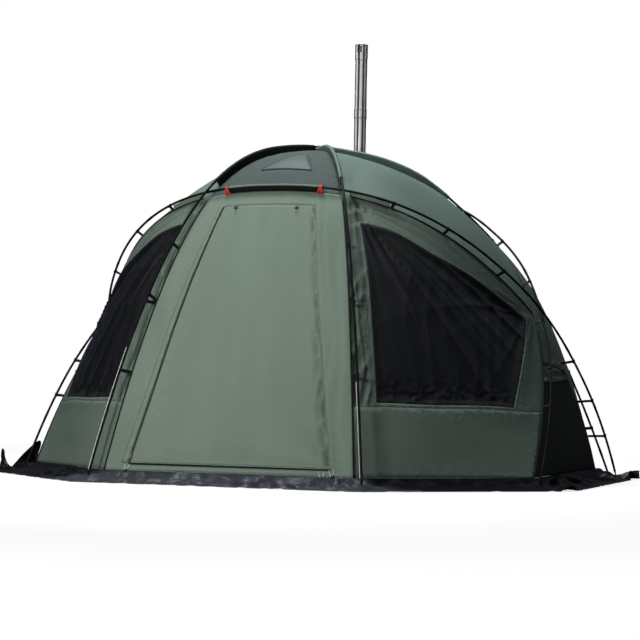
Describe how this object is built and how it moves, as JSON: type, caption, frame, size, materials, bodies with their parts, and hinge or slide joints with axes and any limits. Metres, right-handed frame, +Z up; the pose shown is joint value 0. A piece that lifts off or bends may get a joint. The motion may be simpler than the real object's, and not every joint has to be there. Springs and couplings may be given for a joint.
{
  "type": "hot tent",
  "caption": "Dome hot tent with crossing outside poles, door, side windows, snow skirt and a stove pipe through the roof.",
  "frame": {"origin": "centre of the footprint on the ground", "axes": "+Z up, the door faces -Y, +X to the right seen from the back"},
  "size_m": [3.8647, 3.2407, 2.855],
  "materials": {
    "clip_plastic": "moulded",
    "webbing": "woven",
    "pole": "black anodised",
    "dark_cloth": "woven",
    "green_cloth": "woven, coated",
    "window_cloth": "fine mesh over dark cloth",
    "steel": "stainless",
    "clear_film": "clear film",
    "heat_cloth": "coated glass cloth",
    "stove_iron": "matt black"
  },
  "bodies": {
    "tent": {"front_clip_left_1": "clip_plastic", "front_clip_left_2": "clip_plastic", "front_clip_right_1": "clip_plastic", "front_clip_right_2": "clip_plastic", "front_fan_clip_left": "clip_plastic", "front_fan_clip_right": "clip_plastic", "brow_clip_left_1": "clip_plastic", "brow_clip_left_2": "clip_plastic", "brow_clip_left_3": "clip_plastic", "brow_clip_right_1": "clip_plastic", "brow_clip_right_2": "clip_plastic", "brow_clip_right_3": "clip_plastic", "rear_clip_left_1": "clip_plastic", "rear_clip_left_2": "clip_plastic", "rear_clip_left_3": "clip_plastic", "rear_clip_right_1": "clip_plastic", "rear_clip_right_2": "clip_plastic", "rear_clip_right_3": "clip_plastic", "foot_strap_front_left": "webbing", "foot_strap_front_right": "webbing", "foot_strap_side_left": "webbing", "foot_strap_side_right": "webbing", "foot_strap_rear_left": "webbing", "foot_strap_rear_right": "webbing", "roof_pole_left": "pole", "roof_pole_right": "pole", "brow_pole": "pole", "rear_pole": "pole", "front_sleeve_left": "dark_cloth", "front_sleeve_right": "dark_cloth", "rear_sleeve_left": "dark_cloth", "rear_sleeve_right": "dark_cloth", "brow_sleeve": "dark_cloth", "front_wall": "green_cloth", "roof_front": "green_cloth", "roof_left": "green_cloth", "roof_right": "green_cloth", "roof_rear": "green_cloth", "rear_wall": "green_cloth", "side_wall_left": "green_cloth", "side_wall_right": "green_cloth", "lower_wall_left": "green_cloth", "lower_wall_right": "green_cloth", "rolled_flap_left": "green_cloth", "rolled_flap_right": "green_cloth", "rear_side_left": "dark_cloth", "rear_side_right": "dark_cloth", "snow_skirt": "dark_cloth", "side_window_left": "window_cloth", "side_window_right": "window_cloth", "pipe_lower": "steel", "vent_window": "clear_film", "stove_jack": "heat_cloth", "stove": "stove_iron", "door_zip": "webbing"},
    "door": {"door_panel": "green_cloth"},
    "zip_runner": {"zip_slider": "steel"},
    "pipe_top": {"pipe_upper": "steel"},
    "arrestor": {"spark_arrestor": "steel"}
  },
  "joints": [
    {"name": "door_swing", "type": "hinge", "parent": "tent", "child": "door", "pos_m": [0.64566, -1.36804, 0.13963], "axis": [-0.1989, 0.357, 0.9127], "range_deg": [0, 105]},
    {"name": "zip_slide", "type": "slide", "parent": "tent", "child": "zip_runner", "axis": [0.1986, 0.266, 0.9433], "range_m": [0, 0.24]},
    {"name": "pipe_top_lift", "type": "slide", "parent": "tent", "child": "pipe_top", "axis": [0, 0, 1], "range_m": [0, 0.05]},
    {"name": "arrestor_lift", "type": "slide", "parent": "pipe_top", "child": "arrestor", "axis": [0, 0, 1], "range_m": [0, 0.05]}
  ]
}
